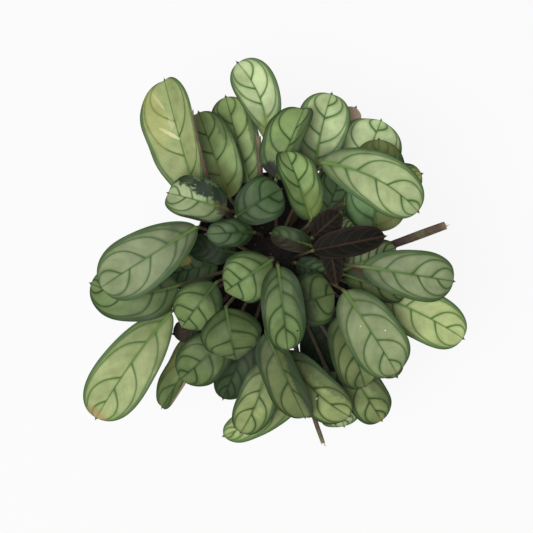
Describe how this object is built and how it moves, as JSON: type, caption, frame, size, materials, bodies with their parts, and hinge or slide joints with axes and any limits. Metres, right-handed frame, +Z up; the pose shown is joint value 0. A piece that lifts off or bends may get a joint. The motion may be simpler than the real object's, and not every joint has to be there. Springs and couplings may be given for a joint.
{
  "type": "potted fishbone prayer plant",
  "caption": "Potted foliage plant with long-stalked oblong leaves, pale green with dark fishbone veins, in a plain round tapered nursery pot",
  "frame": {"origin": "centre of the pot's flat underside", "axes": "+Z up along the pot's axis, +X to the plant's right and +Y to its back as seen from above with the pictured top edge at the back"},
  "size_m": [0.3223, 0.3376, 0.2419],
  "materials": {
    "pot_plastic": "fine satin, black",
    "potting_soil": "crumbly, matt, dark brown",
    "leaf_pale": "satin sage green with dark green veins, dark maroon underneath",
    "leaf_yellow_green": "satin yellow green with dark green veins, dark maroon underneath",
    "leaf_green": "satin mid green with dark green veins, dark maroon underneath",
    "leaf_deep_green": "satin deep green with darker veins, dark maroon underneath",
    "leaf_underside": "satin, near-black maroon",
    "cut_stalk": "matt brown with a paler cut end"
  },
  "bodies": {
    "root": {"pot": "pot_plastic", "soil": "potting_soil", "leaf_back_left_1": "leaf_yellow_green", "leaf_back_left_2": "leaf_green", "leaf_back_left_3": "leaf_deep_green", "leaf_back_left_4": "leaf_deep_green", "leaf_back_1": "leaf_green", "leaf_back_2": "leaf_yellow_green", "leaf_back_3": "leaf_deep_green", "leaf_back_4": "leaf_green", "leaf_back_5": "leaf_pale", "leaf_back_6": "leaf_deep_green", "leaf_back_right_1": "leaf_pale", "leaf_back_right_2": "leaf_green", "leaf_back_right_3": "leaf_green", "leaf_back_right_4": "leaf_pale", "leaf_back_right_5": "leaf_underside", "leaf_back_right_6": "leaf_deep_green", "leaf_right_1": "leaf_green", "leaf_right_2": "leaf_green", "leaf_right_3": "leaf_pale", "leaf_right_4": "leaf_deep_green", "leaf_right_5": "leaf_underside", "leaf_right_6": "leaf_underside", "leaf_right_7": "leaf_underside", "leaf_right_8": "leaf_green", "leaf_front_right_1": "leaf_yellow_green", "leaf_front_right_2": "leaf_deep_green", "leaf_front_right_3": "leaf_pale", "leaf_front_right_4": "leaf_pale", "leaf_front_right_5": "leaf_deep_green", "leaf_front_1": "leaf_pale", "leaf_front_2": "leaf_green", "leaf_front_3": "leaf_pale", "leaf_front_4": "leaf_green", "leaf_front_5": "leaf_green", "leaf_front_6": "leaf_green", "leaf_front_7": "leaf_deep_green", "leaf_front_left_1": "leaf_pale", "leaf_front_left_2": "leaf_yellow_green", "leaf_front_left_3": "leaf_deep_green", "leaf_front_left_4": "leaf_green", "leaf_front_left_5": "leaf_green", "leaf_front_left_6": "leaf_green", "leaf_front_left_7": "leaf_green", "leaf_left_1": "leaf_green", "leaf_left_2": "leaf_green", "leaf_left_3": "leaf_deep_green", "leaf_left_4": "leaf_deep_green", "leaf_left_5": "leaf_pale", "leaf_left_6": "leaf_pale", "leaf_left_7": "leaf_yellow_green", "cut_stalk_right": "cut_stalk", "cut_stalk_back_left": "cut_stalk", "cut_stalk_back": "cut_stalk", "cut_stalk_front": "cut_stalk"}
  },
  "joints": []
}
